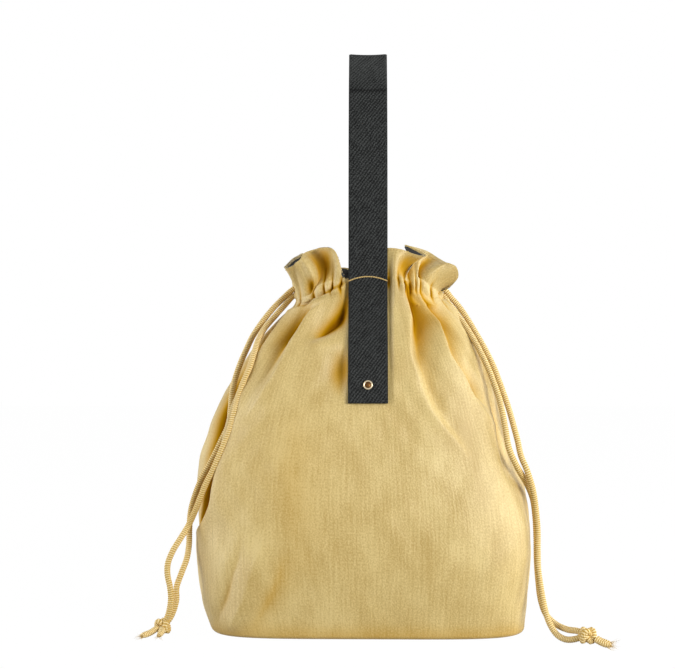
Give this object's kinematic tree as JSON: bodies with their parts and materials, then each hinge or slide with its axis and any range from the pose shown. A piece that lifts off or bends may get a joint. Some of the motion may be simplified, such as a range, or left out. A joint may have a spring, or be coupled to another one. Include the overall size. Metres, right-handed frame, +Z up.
{
  "type": "insulated drawstring bag",
  "caption": "Soft insulated carry bag with a boxed base, foam and dark lining, a neck gathered by cords in a casing under a ruffle, and a riveted webbing strap over the mouth.",
  "frame": {"origin": "on the floor at the middle of the base, straight below the strap; the full bag leans a little to the left of it", "axes": "+Z up, +X to the right seen from the front, front face towards -Y"},
  "size_m": [0.2982, 0.1618, 0.3828],
  "materials": {
    "canvas": "straw-yellow cotton canvas with a soft sheen",
    "lining": "dark charcoal woven lining",
    "foam": "white insulation foam",
    "board": "stiff base board",
    "webbing": "charcoal twill webbing",
    "thread": "golden sewing thread",
    "brass": "antique brass",
    "cord": "ribbed straw-yellow cord"
  },
  "bodies": {
    "bag": {"outer_base_panel": "canvas", "outer_front_panel": "canvas", "outer_back_panel": "canvas", "lining_wall": "lining", "lining_floor": "lining", "insulation_front": "foam", "insulation_back": "foam", "insulation_base": "foam", "base_board": "board", "strap_front_end": "webbing", "strap_back_end": "webbing", "strap_front_thread": "thread", "strap_back_thread": "thread", "front_rivet_cap": "brass", "front_rivet_post": "brass", "back_rivet_cap": "brass", "back_rivet_post": "brass"},
    "handle": {"strap_loop": "webbing"},
    "left_neck": {"left_casing": "canvas", "left_tunnel_upper_cord": "cord", "left_tunnel_lower_cord": "cord", "left_ruffle": "canvas", "left_ruffle_lining": "lining"},
    "right_neck": {"right_casing": "canvas", "right_tunnel_upper_cord": "cord", "right_tunnel_lower_cord": "cord", "right_ruffle": "canvas", "right_ruffle_lining": "lining"},
    "left_cord": {"left_cord_upper_strand": "cord", "left_cord_lower_strand": "cord", "left_knot": "cord", "left_front_tail": "cord", "left_short_tail": "cord"},
    "right_cord": {"right_cord_upper_strand": "cord", "right_cord_lower_strand": "cord", "right_knot": "cord", "right_front_tail": "cord", "right_short_tail": "cord"}
  },
  "joints": [
    {"name": "strap_swing", "type": "hinge", "parent": "bag", "child": "handle", "pos_m": [0, 0, 0.2441], "axis": [0, 1, 0], "range_deg": [-75, 75]},
    {"name": "left_gather", "type": "slide", "parent": "bag", "child": "left_neck", "axis": [1, 0, 0], "range_m": [0, 0.01]},
    {"name": "right_gather", "type": "slide", "parent": "bag", "child": "right_neck", "axis": [-1, 0, 0], "range_m": [0, 0.01]},
    {"name": "left_pull", "type": "slide", "parent": "left_neck", "child": "left_cord", "axis": [-1, 0, 0], "range_m": [0, 0.04]},
    {"name": "right_pull", "type": "slide", "parent": "right_neck", "child": "right_cord", "axis": [1, 0, 0], "range_m": [0, 0.04]}
  ],
  "couplings": [
    {"joint": "left_gather", "follows": "left_pull", "ratio": 0.25},
    {"joint": "right_gather", "follows": "right_pull", "ratio": 0.25}
  ]
}
